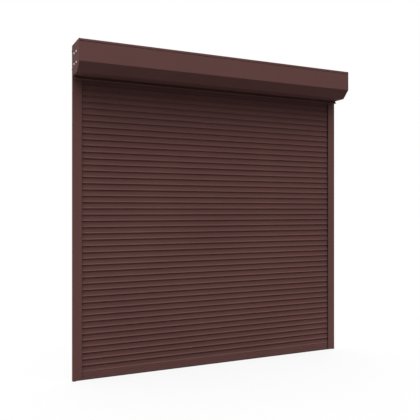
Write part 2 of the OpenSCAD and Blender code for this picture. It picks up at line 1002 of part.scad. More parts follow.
clip_group(11);  // slat_clips_12
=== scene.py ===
"""Looks of an exterior roller shutter, dressed over its fixed CAD frame."""

import logging
import math
from dataclasses import dataclass
from enum import Enum
from typing import Any, Iterable, Mapping, NamedTuple, Sequence, Union

import bmesh
import bpy
from mathutils import Matrix, Vector


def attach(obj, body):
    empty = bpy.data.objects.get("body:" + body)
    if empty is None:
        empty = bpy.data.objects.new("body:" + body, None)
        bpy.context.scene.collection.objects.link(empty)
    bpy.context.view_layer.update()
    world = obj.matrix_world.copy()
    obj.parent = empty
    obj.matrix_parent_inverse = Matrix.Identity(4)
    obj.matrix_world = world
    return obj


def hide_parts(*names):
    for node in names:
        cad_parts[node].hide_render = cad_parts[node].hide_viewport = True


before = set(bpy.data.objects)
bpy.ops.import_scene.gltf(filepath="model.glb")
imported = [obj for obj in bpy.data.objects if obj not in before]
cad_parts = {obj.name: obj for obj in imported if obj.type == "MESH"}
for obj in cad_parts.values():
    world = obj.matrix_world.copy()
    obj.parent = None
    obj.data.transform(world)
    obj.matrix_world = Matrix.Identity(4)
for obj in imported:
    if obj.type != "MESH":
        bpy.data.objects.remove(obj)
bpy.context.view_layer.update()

LOG = logging.getLogger("roller_shutter")

Socket = bpy.types.NodeSocket
Outputs = bpy.types.NodeOutputs
Feed = Union[Socket, float, Sequence[float]]
Feeds = Mapping[Union[str, int], Feed]
Colour = tuple[float, float, float]
Span = tuple[float, float]
# The corners of a section in order, each with the values of a Corner
Section = list[tuple[float, ...]]

# A millimetre, and how close two points lie that are one, in metres
MM = 0.001
MERGE = 0.000001

# Angles between faces: a sharp edge of a new piece, and a flat and an eased edge of a CAD node
SHARP_ANGLE = math.radians(32.0)
FLAT_ANGLE = math.radians(0.5)
EASE_ANGLE = math.radians(40.0)

# Steps in an eased edge and in a rounded bend, and sides of a round head and of its socket
EASE_STEPS = 2
BEND_STEPS = 4
ROUND_SIDES = 24
KEY_SIDES = 6

# Sizes that several classes share, in millimetres
BASE_Z = 1780.0
MOUTH_X = 885.0
SLAT_END_X = 910.0
SLAT_HALF_T = 4.0
SLAT_PITCH = 37.0
SEAT_Z = 46.7

# The whole of a mask's range, and where most of a noise texture's values lie
FULL: Span = (0.0, 1.0)
NOISE: Span = (0.3, 0.7)

WHITE = (1.0, 1.0, 1.0, 1.0)


class Look(Enum):
    """The finishes: each one's own name, and the material slot of the record it belongs to."""

    COATING = ("coated_sheet", "brown_coating")
    SLAT = ("coated_slat", "brown_coating")
    ZINC = ("zinc_on_steel", "zinc_steel")
    BRIGHT = ("turned_steel", "bright_steel")
    MOTOR = ("motor_enamel", "motor_coating")
    PLASTIC = ("moulded_plastic", "black_plastic")
    RUBBER = ("moulded_rubber", "black_rubber")

    def __init__(self, label: str, slot: str) -> None:
        """Keeps the finish's own name and the slot."""
        self.label = label
        self.slot = slot


class Kind(Enum):
    """The shared effects, four textures and three masks, with the names of their groups."""

    PEEL = "coating_peel"
    SPANGLE = "zinc_spangle"
    LINES = "turned_lines"
    GRAIN = "moulded_grain"
    WEAR = "edge_wear"
    DUST = "settled_dust"
    # Painted shade: a mask that darkens the upper part of each slat, under the nose of the slat
    # above
    GRIME = "joint_painted_shade"


class Side(Enum):
    """The two ends of the shutter, with the sign of X there."""

    LEFT = -1
    RIGHT = 1


class Corner(NamedTuple):
    """A corner of a section, in millimetres, and how far its rounding runs along both edges."""

    y: float
    z: float
    soft: float = 0.0


class Graph:
    """Adds nodes to a node tree and feeds their sockets."""

    # Sockets of the Mix node that carry colours
    MIX_FIRST = 6
    MIX_SECOND = 7
    MIX_RESULT = 2

    def __init__(self, tree: bpy.types.NodeTree) -> None:
        """Keeps the tree that the nodes go into."""
        self.tree = tree

    def feed(self, inputs: bpy.types.NodeInputs, feeds: Feeds) -> None:
        """Feeds inputs of a node.

        Args:
            inputs: the node's inputs.
            feeds: an output or a constant for each one that is fed, by name or number.
        """
        for key, value in feeds.items():
            if isinstance(value, Socket):
                self.tree.links.new(value, inputs[key])
            else:
                inputs[key].default_value = value

    def node(self, kind: str, feeds: Feeds | None = None, **settings: Any) -> Outputs:
        """Adds a shader node.

        Args:
            kind: the node's type without its ShaderNode prefix.
            feeds: what feeds its inputs.
            settings: its own properties.

        Returns:
            Its outputs.
        """
        made = self.tree.nodes.new("ShaderNode" + kind)
        for name, value in settings.items():
            setattr(made, name, value)
        self.feed(made.inputs, feeds or {})
        return made.outputs

    def math(self, operation: str, *values: Feed, clamp: bool = False) -> Socket:
        """Adds a Math node and gives its output, which may be held between 0 and 1."""
        feeds = dict(enumerate(values))
        return self.node("Math", feeds, operation=operation, use_clamp=clamp)[0]

    def span(
        self, value: Feed, ends: Sequence[Feed], to: Span = FULL, easing: str = "LINEAR"
    ) -> Socket:
        """Maps a value from between two ends to another range, and holds it there."""
        feeds = dict(enumerate((value, *ends, *to)))
        return self.node("MapRange", feeds, interpolation_type=easing)[0]

    def blend(self, share: Feed, first: Feed, second: Feed) -> Socket:
        """Mixes two colours, by the share of the second one."""
        feeds = {0: share, self.MIX_FIRST: rgba(first), self.MIX_SECOND: rgba(second)}
        return self.node("Mix", feeds, data_type="RGBA")[self.MIX_RESULT]

    def either(self, share: Feed, first: Socket, second: Socket) -> Socket:
        """Mixes two shaders, by the share of the second one."""
        return self.node("MixShader", {0: share, 1: first, 2: second})[0]

    def place(self) -> Socket:
        """Gives the point on the surface in the part's own frame."""
        return self.node("TexCoord")["Object"]

    def part(self, vector: Feed, axis: str) -> Socket:
        """Gives the X, Y or Z of a vector."""
        return self.node("SeparateXYZ", {0: vector})[axis]

    def noise(self, scale: Feed, octaves: float, where: Feed | None = None) -> Socket:
        """Adds a noise texture and gives its grey value, read at a point or on the surface."""
        feeds = {"Vector": where or self.place(), "Scale": scale, "Detail": octaves}
        return self.node("TexNoise", feeds)[0]

    def cloud(self, scale: float, octaves: float, ends: Span = NOISE, to: Span = FULL) -> Socket:
        """Adds a noise texture on the surface, and maps its values to another range."""
        return self.span(self.noise(scale, octaves), ends, to)


def rgba(value: Feed) -> Feed:
    """Adds a full alpha to a colour of three parts, and leaves a socket as it is."""
    return value if isinstance(value, Socket) else (*value, 1.0)


class Effect(Graph):
    """A surface effect that several finishes share, as a shader node group."""

    def __init__(self, kind: Kind, *inputs: str) -> None:
        """Makes an empty group.

        Args:
            kind: which effect it is.
            inputs: the names of its inputs.
        """
        super().__init__(bpy.data.node_groups.new(kind.value, "ShaderNodeTree"))
        for label in inputs:
            self.add_socket(label, "INPUT")
        self.source = self.tree.nodes.new("NodeGroupInput").outputs

    def add_socket(self, label: str, way: str) -> None:
        """Adds an input or an output for a plain value."""
        self.tree.interface.new_socket(label, in_out=way, socket_type="NodeSocketFloat")

    def give(self, **results: Socket) -> None:
        """Adds the group's outputs and feeds them.

        Args:
            results: what feeds each output, by its name.
        """
        for label in results:
            self.add_socket(label, "OUTPUT")
        self.feed(self.tree.nodes.new("NodeGroupOutput").inputs, results)

    def give_mask(self, first: Socket, second: Socket) -> None:
        """Gives the product of two masks, times the group's amount, as its output."""
        mask = self.math("MULTIPLY", first, second, clamp=True)
        self.give(Mask=self.math("MULTIPLY", mask, self.source["Amount"]))


class Effects:
    """The shared effects, each built once. Scales are per metre, and lengths in metres."""

    PEEL_TONE_SCALE = 1.7
    # How often and how far the edges of the crystals waver
    RIPPLE_SCALE = 60.0
    RIPPLE = 0.012
    HANDLING_SCALE = 240.0
    HANDLING_NOISE: Span = (0.35, 0.75)
    GRAIN_TONE_SCALE = 22.0
    WEAR_RADIUS = 0.001
    WEAR_SAMPLES = 4
    # How closely a rounded normal follows the true one, from no wear to full wear
    WEAR_MATCH: Span = (0.99, 0.8)
    WEAR_SCALE = 90.0
    WEAR_NOISE: Span = (0.4, 0.65)
    WEAR_PATCHES: Span = (0.15, 1.0)
    # How far a surface faces up, from no dust to full dust
    DUST_TILT: Span = (0.25, 0.95)
    DUST_SCALE = 14.0
    DUST_PATCHES: Span = (0.25, 1.0)
    # How far up a slat the painted shade under the nose of the slat above starts and is full, in
    # shares of the pitch
    SHADE_BAND: Span = (0.3, 0.8)
    SHADE_SCALE = 9.0
    SHADE_PATCHES: Span = (0.8, 1.0)

    def build(self) -> None:
        """Builds every effect."""
        self.build_peel()
        self.build_spangle()
        self.build_lines()
        self.build_grain()
        self.build_wear()
        self.build_dust()
        self.build_painted_shade()

    def build_peel(self) -> None:
        """Builds the soft orange peel of a baked coating, with a faint broad unevenness of tone."""
        peel = Effect(Kind.PEEL, "Scale")
        fine = peel.noise(peel.source["Scale"], octaves=2.0)
        tone = peel.cloud(self.PEEL_TONE_SCALE, octaves=3.0)
        peel.give(Height=fine, Tone=tone, Gloss=peel.span(fine, NOISE))

    def build_spangle(self) -> None:
        """Builds the crystals of hot-dip zinc: flat patches, each with its own tone."""
        zinc = Effect(Kind.SPANGLE, "Scale")
        waves = {"Vector": zinc.place(), "Scale": self.RIPPLE_SCALE, "Detail": 2.0}
        ripple = {0: zinc.node("TexNoise", waves)["Color"], "Scale": self.RIPPLE}
        shift = zinc.node("VectorMath", ripple, operation="SCALE")[0]
        where = zinc.node("VectorMath", {0: zinc.place(), 1: shift}, operation="ADD")[0]
        cells = {"Vector": where, "Scale": zinc.source["Scale"]}
        crystals = zinc.node("TexVoronoi", cells)
        tone = zinc.node("SeparateColor", {0: crystals["Color"]})["Red"]
        zinc.give(Height=crystals["Distance"], Tone=tone, Gloss=tone)

    def build_lines(self) -> None:
        """Builds the fine lines that turning leaves round the X axis, with handling marks."""
        lines = Effect(Kind.LINES, "Scale")
        along = lines.node("CombineXYZ", {"X": lines.part(lines.place(), "X")})[0]
        fine = lines.noise(lines.source["Scale"], octaves=2.0, where=along)
        marks = lines.cloud(self.HANDLING_SCALE, octaves=3.0, ends=self.HANDLING_NOISE)
        lines.give(Height=fine, Tone=marks, Gloss=marks)

    def build_grain(self) -> None:
        """Builds the fine grain of moulded plastic and rubber."""
        grain = Effect(Kind.GRAIN, "Scale")
        cells = {"Vector": grain.place(), "Scale": grain.source["Scale"]}
        pits = grain.node("TexVoronoi", cells, feature="SMOOTH_F1")["Distance"]
        tone = grain.cloud(self.GRAIN_TONE_SCALE, octaves=4.0)
        grain.give(Height=pits, Tone=tone, Gloss=tone)

    def build_wear(self) -> None:
        """Builds the wear of edges: where a rounded normal leaves the true one, in patches."""
        wear = Effect(Kind.WEAR, "Amount")
        soft = wear.node("Bevel", {"Radius": self.WEAR_RADIUS}, samples=self.WEAR_SAMPLES)
        normals = {0: soft[0], 1: wear.node("NewGeometry")["True Normal"]}
        match = wear.node("VectorMath", normals, operation="DOT_PRODUCT")["Value"]
        patches = wear.cloud(
            self.WEAR_SCALE, octaves=4.0, ends=self.WEAR_NOISE, to=self.WEAR_PATCHES
        )
        wear.give_mask(wear.span(match, self.WEAR_MATCH), patches)

    def build_dust(self) -> None:
        """Builds the thin dust that settles on surfaces that face up."""
        dust = Effect(Kind.DUST, "Amount")
        up = dust.part(dust.node("NewGeometry")["Normal"], "Z")
        patches = dust.cloud(self.DUST_SCALE, octaves=6.0, to=self.DUST_PATCHES)
        dust.give_mask(dust.span(up, self.DUST_TILT), patches)

    def build_painted_shade(self) -> None:
        """Builds painted shade in patches on the upper part of each slat, where the nose of the
        slat above shades it.
        """
        grime = Effect(Kind.GRIME, "Amount")
        # Painted shade: the mask rises towards the top of each slat pitch, just under the nose of
        # the slat above
        height = grime.math("SUBTRACT", grime.part(grime.place(), "Z"), SEAT_Z * MM)
        phase = grime.math("FRACT", grime.math("DIVIDE", height, SLAT_PITCH * MM))
        patches = grime.cloud(self.SHADE_SCALE, octaves=5.0, to=self.SHADE_PATCHES)
        grime.give_mask(grime.span(phase, self.SHADE_BAND, easing="SMOOTHSTEP"), patches)


class Canvas(Graph):
    """The nodes of a material in the making."""

    def put(self, kind: Kind, **values: float) -> Outputs:
        """Puts a shared effect in, with a value for each of its inputs."""
        return self.node("Group", values, node_tree=bpy.data.node_groups[kind.value])

    def mask(self, kind: Kind, amount: float) -> Socket:
        """Puts a mask in, with the most that it may cover."""
        return self.put(kind, Amount=amount)["Mask"]


@dataclass(frozen=True)
class Finish:
    """A clean finish: its texture, and how far its colour and its roughness stray with it."""

    look: Look
    colour: Colour
    roughness: float
    texture: Kind
    scale: float
    tones: Span
    stray: Span
    specular: float = 0.5
    metallic: float = 0.0
    depth: float = 0.00002
    strength: float = 0.3

    def build(self) -> bpy.types.Material:
        """Makes the material.

        Returns:
            The material.
        """
        material = bpy.data.materials.new(self.look.label)
        material.use_nodes = True
        material.diffuse_color = rgba(self.colour)
        canvas = Canvas(material.node_tree)
        texture = canvas.put(self.texture, Scale=self.scale)
        first, second = (tuple(part * tone for part in self.colour) for tone in self.tones)
        colour = canvas.blend(texture["Tone"], first, second)
        ends = tuple(self.roughness + stray for stray in self.stray)
        colour, roughness = self.weather(canvas, colour, canvas.span(texture["Gloss"], FULL, ends))
        bump = {"Height": texture["Height"], "Distance": self.depth, "Strength": self.strength}
        feeds = {
            "Base Color": colour, "Roughness": roughness, "Metallic": self.metallic,
            "Specular IOR Level": self.specular, "Normal": canvas.node("Bump", bump)[0],
        }
        canvas.feed(canvas.tree.nodes["Principled BSDF"].inputs, feeds)
        return material

    def weather(self, canvas: Canvas, colour: Socket, roughness: Socket) -> tuple[Socket, Socket]:
        """Leaves the colour and the roughness as they are."""
        return colour, roughness


@dataclass(frozen=True)
class Galvanised(Finish):
    """Zinc on steel: crystals of several greys, duller and brighter."""

    roughness: float = 0.42
    texture: Kind = Kind.SPANGLE
    scale: float = 110.0
    tones: Span = (0.78, 1.22)
    stray: Span = (-0.12, 0.12)
    metallic: float = 1.0
    depth: float = 0.00001
    strength: float = 0.2


@dataclass(frozen=True)
class Turned(Finish):
    """Turned or ground steel: fine lines round the axis and faint handling marks."""

    roughness: float = 0.2
    texture: Kind = Kind.LINES
    scale: float = 2600.0
    tones: Span = (1.0, 0.78)
    stray: Span = (0.0, 0.14)
    metallic: float = 1.0
    depth: float = 0.00001
    strength: float = 0.25


@dataclass(frozen=True)
class Weathered(Finish):
    """A finish with paler worn edges, and a little dust on what faces up."""

    worn: Colour = (0.3, 0.2, 0.17)
    wear: float = 0.25
    dust: Colour = (0.2, 0.17, 0.15)
    dustiness: float = 0.12
    dulled: bool = True

    def weather(self, canvas: Canvas, colour: Socket, roughness: Socket) -> tuple[Socket, Socket]:
        """Lays wear and dust over the finish.

        Args:
            canvas: the material in the making.
            colour: the clean colour.
            roughness: the clean roughness, which the dust may add to.

        Returns:
            The weathered colour and roughness.
        """
        worn = canvas.blend(canvas.mask(Kind.WEAR, self.wear), colour, self.worn)
        film = canvas.mask(Kind.DUST, self.dustiness)
        if self.dulled:
            roughness = canvas.math("ADD", roughness, film, clamp=True)
        return canvas.blend(film, worn, self.dust), roughness


@dataclass(frozen=True)
class Coating(Weathered):
    """Baked coating on metal, with its orange peel."""

    roughness: float = 0.65
    texture: Kind = Kind.PEEL
    scale: float = 520.0
    tones: Span = (0.93, 1.07)
    stray: Span = (-0.05, 0.05)
    specular: float = 0.02
    depth: float = 0.00003
    strength: float = 0.25


@dataclass(frozen=True)
class JointedCoating(Coating):
    """Baked coating on slats, with painted shade on the upper part of each slat, under the nose of
    the slat above.
    """

    # Painted shade: the dark colour laid on the upper part of each slat, and how much of it lies
    # there
    grime: Colour = (0.024, 0.0125, 0.0115)
    painted_shade_amount: float = 0.29

    def weather(self, canvas: Canvas, colour: Socket, roughness: Socket) -> tuple[Socket, Socket]:
        """Lays the painted shade under the wear and the dust."""
        # Painted shade: darkens the base colour under each nose
        shaded = canvas.blend(canvas.mask(Kind.GRIME, self.painted_shade_amount), colour, self.grime)
        return super().weather(canvas, shaded, roughness)


@dataclass(frozen=True)
class Moulded(Weathered):
    """Moulded plastic or rubber, with a fine grain and scuffed edges."""

    roughness: float = 0.55
    texture: Kind = Kind.GRAIN
    scale: float = 1400.0
    tones: Span = (0.8, 1.25)
    stray: Span = (-0.06, 0.06)
    specular: float = 0.35
    worn: Colour = (0.09, 0.085, 0.08)
    wear: float = 0.3
    dust: Colour = (0.16, 0.14, 0.12)
    dustiness: float = 0.15
    dulled: bool = False


FINISHES: tuple[Finish, ...] = (
    Coating(Look.COATING, (0.102, 0.048, 0.0437)),
    # The slats' brown is a little darker than the box's same coating: painted shade for the curtain
    JointedCoating(Look.SLAT, (0.0985, 0.046, 0.0425)),
    Galvanised(Look.ZINC, (0.52, 0.53, 0.55)),
    Turned(Look.BRIGHT, (0.74, 0.74, 0.73)),
    Coating(
        Look.MOTOR, (0.28, 0.29, 0.3), roughness=0.42, specular=0.4, depth=0.00002, strength=0.3,
        worn=(0.5, 0.5, 0.5), dust=(0.35, 0.33, 0.3),
    ),
    Moulded(Look.PLASTIC, (0.018, 0.016, 0.0155)),
    Moulded(
        Look.RUBBER, (0.012, 0.0115, 0.011), roughness=0.8, specular=0.25, scale=900.0, wear=0.15
    ),
)


class Shape:
    """A mesh in the making, in metres. Sizes are given in millimetres."""

    # A bolt head's dome, in shares of its radius and height, from its seat to its flat
    HEAD_DOME = ((1.0, 0.0), (1.0, 0.45), (0.93, 0.72), (0.78, 0.92), (0.6, 1.0))

    def __init__(self) -> None:
        """Starts with nothing."""
        self.bm = bmesh.new()

    def wire(self, section: Section, closed: bool, x: float) -> list[bmesh.types.BMEdge]:
        """Draws a chain of corners in a plane across X and rounds those that are soft.

        Args:
            section: the corners.
            closed: whether the chain runs back to its first corner.
            x: the plane.

        Returns:
            The edges of the chain.
        """
        before = set(self.bm.edges)
        corners = [Corner(*values) for values in section]
        dots = [self.bm.verts.new((x * MM, c.y * MM, c.z * MM)) for c in corners]
        for first, second in zip(dots, dots[1:] + dots[:1] if closed else dots[1:]):
            self.bm.edges.new((first, second))
        for soft in sorted({c.soft for c in corners if c.soft > 0.0}):
            round_ones = [dot for dot, c in zip(dots, corners) if c.soft == soft]
            bmesh.ops.bevel(
                self.bm, geom=round_ones, offset=soft * MM, offset_type="OFFSET",
                affect="VERTICES", segments=BEND_STEPS, profile=0.5, material=-1,
                clamp_overlap=False,
            )
        return [edge for edge in self.bm.edges if edge not in before]

    def bar(self, sections: Sequence[Section], ends: Span) -> "Shape":
        """Adds a bar along X.

        Args:
            sections: its outline, then the outlines of its hollows.
            ends: where it starts and ends.

        Returns:
            This shape.
        """
        edges = [edge for section in sections for edge in self.wire(section, True, ends[0])]
        made = bmesh.ops.triangle_fill(self.bm, use_beauty=True, edges=edges)["geom"]
        faces = [item for item in made if isinstance(item, bmesh.types.BMFace)]
        grown = bmesh.ops.extrude_face_region(self.bm, geom=faces)["geom"]
        self.slide(grown, x=ends[1] - ends[0])
        return self

    def skin(self, section: Section, ends: Span) -> "Shape":
        """Makes an empty shape a folded skin along X.

        Args:
            section: the folds.
            ends: where it starts and ends.

        Returns:
            This shape.
        """
        edges = self.wire(section, False, ends[0])
        grown = bmesh.ops.extrude_edge_only(self.bm, edges=edges)["geom"]
        self.slide(grown, x=ends[1] - ends[0])
        return self

    def pierce(self, at: Sequence[float], radius: float, sides: int) -> None:
        """Cuts a round hole along Y into a skin.

        Args:
            at: the middle of the hole, on one of the skin's flat faces.
            radius: its radius.
            sides: the number of sides round it.
        """
        middle = Vector(at) * MM
        face = min(
            self.bm.faces, key=lambda each: abs(each.normal.dot(middle - each.calc_center_median()))
        )
        rim = list(face.edges)
        bmesh.ops.delete(self.bm, geom=[face], context="FACES_ONLY")
        place = Matrix.Translation(middle) @ Matrix.Rotation(math.radians(90.0), 4, "X")
        ring = bmesh.ops.create_circle(
            self.bm, cap_ends=False, radius=radius * MM, segments=sides, matrix=place
        )["verts"]
        rim += {edge for dot in ring for edge in dot.link_edges}
        bmesh.ops.triangle_fill(self.bm, use_beauty=True, edges=rim)

    def thicken(self, thickness: float) -> None:
        """Makes a skin a sheet that grows inwards."""
        bmesh.ops.recalc_face_normals(self.bm, faces=list(self.bm.faces))
        bmesh.ops.solidify(self.bm, geom=list(self.bm.faces), thickness=thickness * MM)

    def block(self, low: Sequence[float], high: Sequence[float], soft: float) -> None:
        """Adds a plate or block with eased edges.

        Args:
            low: its lowest corner.
            high: its highest corner.
            soft: the width of its eased edges.
        """
        a, b = Vector(low) * MM, Vector(high) * MM
        place = Matrix.Translation((a + b) / 2.0) @ Matrix.Diagonal((*(b - a), 1.0))
        dots = bmesh.ops.create_cube(self.bm, size=1.0, matrix=place)["verts"]
        edges = list({edge for dot in dots for edge in dot.link_edges})
        bmesh.ops.bevel(
            self.bm, geom=edges, offset=soft * MM, offset_type="OFFSET", affect="EDGES",
            segments=EASE_STEPS, profile=0.5, material=-1, clamp_overlap=True,
        )

    def turned(self, profile: Sequence[Span]) -> "Shape":
        """Makes an empty shape a turned solid round the Z axis.

        Args:
            profile: radius and height of each corner, from one pole to the other.

        Returns:
            This shape.
        """
        dots = [self.bm.verts.new((radius * MM, 0.0, height * MM)) for radius, height in profile]
        edges = [self.bm.edges.new(pair) for pair in zip(dots, dots[1:])]
        bmesh.ops.spin(
            self.bm, geom=dots + edges, cent=(0.0, 0.0, 0.0), axis=(0.0, 0.0, 1.0),
            angle=math.tau, steps=ROUND_SIDES, use_merge=True, use_duplicate=False,
        )
        bmesh.ops.remove_doubles(self.bm, verts=list(self.bm.verts), dist=MERGE)
        return self

    def socket_head(self, radius: float, height: float, key: float, depth: float) -> "Shape":
        """Makes an empty shape a low round bolt head with a six-sided socket, facing +Z.

        Args:
            radius: the head's radius.
            height: its height.
            key: the socket's radius to its corners.
            depth: the socket's depth.

        Returns:
            This shape.
        """
        loops = [self.ring(radius * r, height * h, ROUND_SIDES) for r, h in self.HEAD_DOME]
        loops += [self.ring(key, level, KEY_SIDES) for level in (height, height - depth)]
        for lower, upper in zip(loops, loops[1:]):
            bmesh.ops.bridge_loops(self.bm, edges=lower + upper)
        bmesh.ops.edgenet_fill(self.bm, edges=loops[0])
        bmesh.ops.edgenet_fill(self.bm, edges=loops[-1])
        return self

    def ring(self, radius: float, height: float, sides: int) -> list[bmesh.types.BMEdge]:
        """Adds a ring with as many edges as a round one, whatever its sides.

        Args:
            radius: its radius to the corners.
            height: its height.
            sides: the number of its sides.

        Returns:
            Its edges.
        """
        before = set(self.bm.edges)
        place = Matrix.Translation((0.0, 0.0, height * MM))
        bmesh.ops.create_circle(
            self.bm, cap_ends=False, radius=radius * MM, segments=sides, matrix=place
        )
        made = [edge for edge in self.bm.edges if edge not in before]
        cuts = ROUND_SIDES // sides - 1
        if cuts:
            bmesh.ops.subdivide_edges(self.bm, edges=made, cuts=cuts)
        return [edge for edge in self.bm.edges if edge not in before]

    def slide(self, geom: Iterable[Any], x: float = 0.0, z: float = 0.0) -> None:
        """Moves the vertices among some geometry."""
        dots = [item for item in geom if isinstance(item, bmesh.types.BMVert)]
        bmesh.ops.translate(self.bm, verts=dots, vec=(x * MM, 0.0, z * MM))

    def join(self, other: "Shape", place: Matrix) -> None:
        """Takes in another shape, which is used up.

        Args:
            other: the shape.
            place: where it goes.
        """
        loose = bpy.data.meshes.new("loose")
        other.bm.transform(place)
        other.bm.to_mesh(loose)
        other.bm.free()
        self.bm.from_mesh(loose)
        bpy.data.meshes.remove(loose)

    def settle(self) -> None:
        """Orders points and faces by place, as the order that operators leave isn't steady."""
        dots = sorted(self.bm.verts, key=lambda dot: dot.co[:])
        ranks = {dot: rank for rank, dot in enumerate(dots)}
        faces = sorted(self.bm.faces, key=lambda face: sorted(ranks[dot] for dot in face.verts))
        ranks |= {face: rank for rank, face in enumerate(faces)}
        self.bm.verts.sort(key=ranks.get)
        self.bm.faces.sort(key=ranks.get)


def pointing(at: Sequence[float], towards: Sequence[float]) -> Matrix:
    """Gives the place of a fastener, from its seat in millimetres and where its head faces."""
    turn = Vector(towards).to_track_quat("Z", "Y").to_matrix().to_4x4()
    return Matrix.Translation(Vector(at) * MM) @ turn


@dataclass(frozen=True)
class Fasteners:
    """Rivets and bolts of the box, in millimetres."""

    rivet_r: float = 4.0
    rivet_h: float = 1.4
    shank_r: float = 2.0
    tail_r: float = 2.8
    tail_h: float = 1.6
    tail_taper: float = 0.7
    bolt_r: float = 6.0
    bolt_h: float = 4.0
    bolt_shank_r: float = 3.0
    bolt_grip: float = 8.0
    key_r: float = 2.6
    key_depth: float = 2.2
    ease: float = 0.6
    # A rivet's dome, in shares of its radius and height, from the end of its mandrel outwards
    dome: tuple[Span, ...] = (
        (0.0, 0.8), (0.225, 0.8), (0.275, 1.0), (0.425, 0.97), (0.65, 0.82), (0.85, 0.55),
        (0.975, 0.22), (1.0, 0.0),
    )

    def rivet(self, shape: Shape, grip: float, head_h: float, place: Matrix) -> None:
        """Adds a blind rivet with a domed head, the broken end of its mandrel and its tail.

        Args:
            shape: what it is added to.
            grip: the thickness that it holds.
            head_h: the height of its head.
            place: where its head sits.
        """
        head = [(self.rivet_r * r, head_h * h) for r, h in self.dome]
        end = -grip - self.tail_h
        tail = [
            (self.shank_r, 0.0), (self.shank_r, -grip), (self.tail_r, -grip),
            (self.tail_r, -grip - self.tail_h * self.tail_taper),
            (self.tail_r * self.tail_taper, end), (0.0, end),
        ]
        shape.join(Shape().turned(head + tail), place)

    def bolt(self, shape: Shape, place: Matrix) -> None:
        """Adds a low-headed bolt.

        Args:
            shape: what it is added to.
            place: where its head sits.
        """
        head = Shape().socket_head(self.bolt_r, self.bolt_h, self.key_r, self.key_depth)
        shape.join(head, place)
        r, end = self.bolt_shank_r, -self.bolt_grip
        shank = [(0.0, 0.0), (r, 0.0), (r, end + self.ease), (r - self.ease, end), (0.0, end)]
        shape.join(Shape().turned(shank), place)


@dataclass
class SubAssembly:
    """A group of pieces that are built and dressed together. Sizes are in millimetres."""

    materials: Mapping[Look, bpy.types.Material]

    def build(self) -> None:
        """Builds the pieces that stand for CAD nodes."""

    def dress(self) -> None:
        """Dresses the CAD nodes that stay."""

    def coat(self, piece: bpy.types.Object, look: Look) -> None:
        """Gives a new piece or a CAD node its finish."""
        piece.data.materials.clear()
        piece.data.materials.append(self.materials[look])

    def piece(
        self, shape: Shape, name: str, look: Look, stands_for: str, body: str = "frame"
    ) -> None:
        """Finishes a shape as a piece of the shutter.

        Args:
            shape: the shape, which is used up.
            name: the piece's name.
            look: its finish.
            stands_for: the CAD node that it replaces.
            body: the CAD body that it moves with.
        """
        bmesh.ops.recalc_face_normals(shape.bm, faces=list(shape.bm.faces))
        shape.settle()
        for face in shape.bm.faces:
            face.smooth = True
        mesh = bpy.data.meshes.new(name)
        shape.bm.to_mesh(mesh)
        shape.bm.free()
        mesh.set_sharp_from_angle(angle=SHARP_ANGLE)
        made = bpy.data.objects.new(name, mesh)
        bpy.context.scene.collection.objects.link(made)
        made.modifiers.new("crisp", "WEIGHTED_NORMAL").keep_sharp = True
        self.coat(made, look)
        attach(made, body)
        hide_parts(stands_for)
        LOG.info("piece %s on %s: %d faces", name, body, len(mesh.polygons))

    def dress_nodes(self, look: Look, names: Iterable[str], ease: float = 0.0) -> None:
        """Gives CAD nodes their finish, and eases their edges.

        Args:
            look: the finish.
            names: the nodes.
            ease: the width of the eased edges, or 0 for none.
        """
        for name in names:
            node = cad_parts[name]
            self.coat(node, look)
            if ease > 0.0:
                self.ease_edges(node, ease)
            LOG.info("node %s: %s", name, look.label)

    @staticmethod
    def ease_edges(node: bpy.types.Object, width: float) -> None:
        """Eases the edges of a CAD node with modifiers, which leave its mesh alone.

        Args:
            node: the node.
            width: the width of the eased edges.
        """
        node.modifiers.new("weld", "WELD").merge_threshold = MERGE
        flat = node.modifiers.new("flat", "DECIMATE")
        flat.decimate_type = "DISSOLVE"
        flat.angle_limit = FLAT_ANGLE
        eased = node.modifiers.new("eased", "BEVEL")
        eased.width = width * MM
        eased.segments = EASE_STEPS
        eased.limit_method = "ANGLE"
        eased.angle_limit = EASE_ANGLE
        eased.use_clamp_overlap = True
        node.modifiers.new("crisp", "WEIGHTED_NORMAL")


